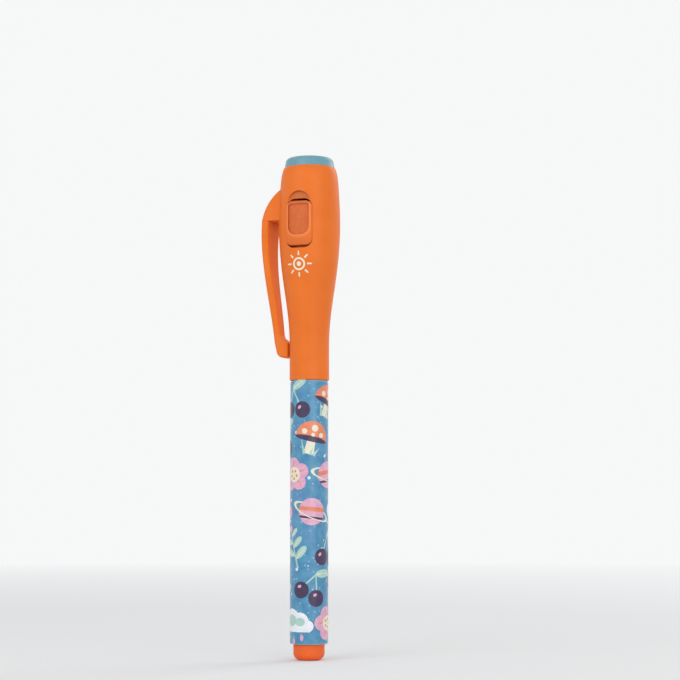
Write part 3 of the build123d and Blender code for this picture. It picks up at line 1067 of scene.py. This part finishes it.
for (fromY, fromZ), (toY, toZ) in zip(leafLook["bends"], leafLook["bends"][1:]):
    bpy.ops.mesh.extrude_edges_indiv()
    bpy.ops.transform.translate(value=(0, (toY - fromY) * mm, (toZ - fromZ) * mm))
objectMode()
clearPicks()
for edge in switchLeaf.data.edges:
    first, second = [switchLeaf.data.vertices[number].co for number in edge.vertices]
    across = abs(first.x - second.x) > leafLook["width"] / 2
    inner = first.y < 0 and first.z < tipHeight - leafLook["bandStep"]
    edge.select = across and inner
roundEdges(leafLook["bendRound"], leafLook["bendSteps"])
bands = math.ceil((tipHeight - footHeight * mm) / leafLook["bandStep"])
cutBands([footHeight * mm + (band + 1) * leafLook["bandStep"] for band in range(bands)], up)
thicken(switchLeaf, leafLook["thickness"], offset=0.0)
bpy.ops.object.shade_smooth_by_angle(angle=smoothAngle)
switchLeaf.data.materials.append(madeFinishes["springBrass"])
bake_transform(switchLeaf)
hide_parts("switch_leaf")
print("switch leaf:", len(switchLeaf.data.polygons), "faces")


# Stage: pale floor that fades into a white surround
stageLook = {
    "white": (0.93, 0.935, 0.94, 1.0),
    "floor": {"Base Color": (0.86, 0.865, 0.87, 1.0), "Roughness": 0.85},
    "floorRadius": 3.0,
    "floorSides": 96,
    "fadeStart": 0.25,
    "fadeEnd": 0.9,
    "ambient": 0.68,
    "lampAim": (0, 0, 0.08),
}


def clearView(finish):
    # 1 for the camera, and for glossy and clear rays, which see the white too
    path = addNode(finish, "ShaderNodeLightPath").outputs
    seen = path["Is Camera Ray"]
    for ray in ("Is Glossy Ray", "Is Transmission Ray"):
        seen = mathNode(finish, "MAXIMUM", seen, path[ray])
    return seen


clearSelection()
bpy.ops.mesh.primitive_circle_add(
    vertices=stageLook["floorSides"], radius=stageLook["floorRadius"], fill_type="NGON", location=(0, 0, 0)
)
floor = bpy.context.object
floor.name = "paleFloor"
floorFinish, floorShader, floorCoords = startFinish("paleFloor")
setSockets(floorShader, stageLook["floor"])
distance = length(floorFinish, floorCoords)
fade = spread(floorFinish, distance, stageLook["fadeStart"], stageLook["fadeEnd"], 0.0, 1.0)
glow = addNode(floorFinish, "ShaderNodeEmission", Color=stageLook["white"], Strength=1.0)
blend = addNode(floorFinish, "ShaderNodeMixShader")
join(floorFinish, product(floorFinish, fade, clearView(floorFinish)), blend.inputs[0])
join(floorFinish, floorShader.outputs[0], blend.inputs[1])
join(floorFinish, glow.outputs[0], blend.inputs[2])
join(floorFinish, blend.outputs[0], floorFinish.node_tree.nodes["Material Output"].inputs["Surface"])
floor.data.materials.append(floorFinish)

surround = bpy.data.worlds.new("softSurround")
bpy.context.scene.world = surround
surround.use_nodes = True
backdrop = surround.node_tree.nodes["Background"]
backdrop.inputs["Color"].default_value = stageLook["white"]
strength = spread(surround, clearView(surround), 0.0, 1.0, stageLook["ambient"], 1.0)
join(surround, strength, backdrop.inputs["Strength"])

lampLooks = {
    "keySoftbox": {"place": (-0.3, -0.85, 0.6), "size": 0.7, "power": 2.4},
    "fillSoftbox": {"place": (0.7, -0.7, 0.32), "size": 0.7, "power": 2.4},
    "rimSoftbox": {"place": (0.4, 0.75, 0.6), "size": 0.5, "power": 1.8},
}
for name, look in lampLooks.items():
    lamp = bpy.data.lights.new(name, "AREA")
    lamp.size = look["size"]
    lamp.energy = look["power"]
    holder = bpy.data.objects.new(name, lamp)
    holder.location = look["place"]
    inward = Vector(stageLook["lampAim"]) - holder.location
    holder.rotation_euler = inward.to_track_quat("-Z", "Y").to_euler()
    bpy.context.collection.objects.link(holder)

# Camera at the photograph's angle: a little below the cap, a little to the right of the button
cameraLook = {
    "azimuth": 21.0,
    "distance": 520.0 * mm,
    "elevation": -4.96,
    "aimRight": 8.3 * mm,
    "aimHeight": 85.85 * mm,
    "lens": 101.5,
    "sensor": 36.0,
}
azimuth = math.radians(cameraLook["azimuth"])
elevation = math.radians(cameraLook["elevation"])
target = Vector((math.cos(azimuth), math.sin(azimuth), 0)) * cameraLook["aimRight"]
target.z = cameraLook["aimHeight"]
outward = Vector((
    math.sin(azimuth) * math.cos(elevation),
    -math.cos(azimuth) * math.cos(elevation),
    math.sin(elevation),
))
lensData = bpy.data.cameras.new("photoCamera")
lensData.lens = cameraLook["lens"]
lensData.sensor_width = cameraLook["sensor"]
camera = bpy.data.objects.new("photoCamera", lensData)
camera.location = target + outward * cameraLook["distance"]
camera.rotation_euler = (-outward).to_track_quat("-Z", "Y").to_euler()
bpy.context.collection.objects.link(camera)
bpy.context.scene.camera = camera
bpy.context.scene.view_settings.view_transform = "Standard"
print("stage, lights and camera set")
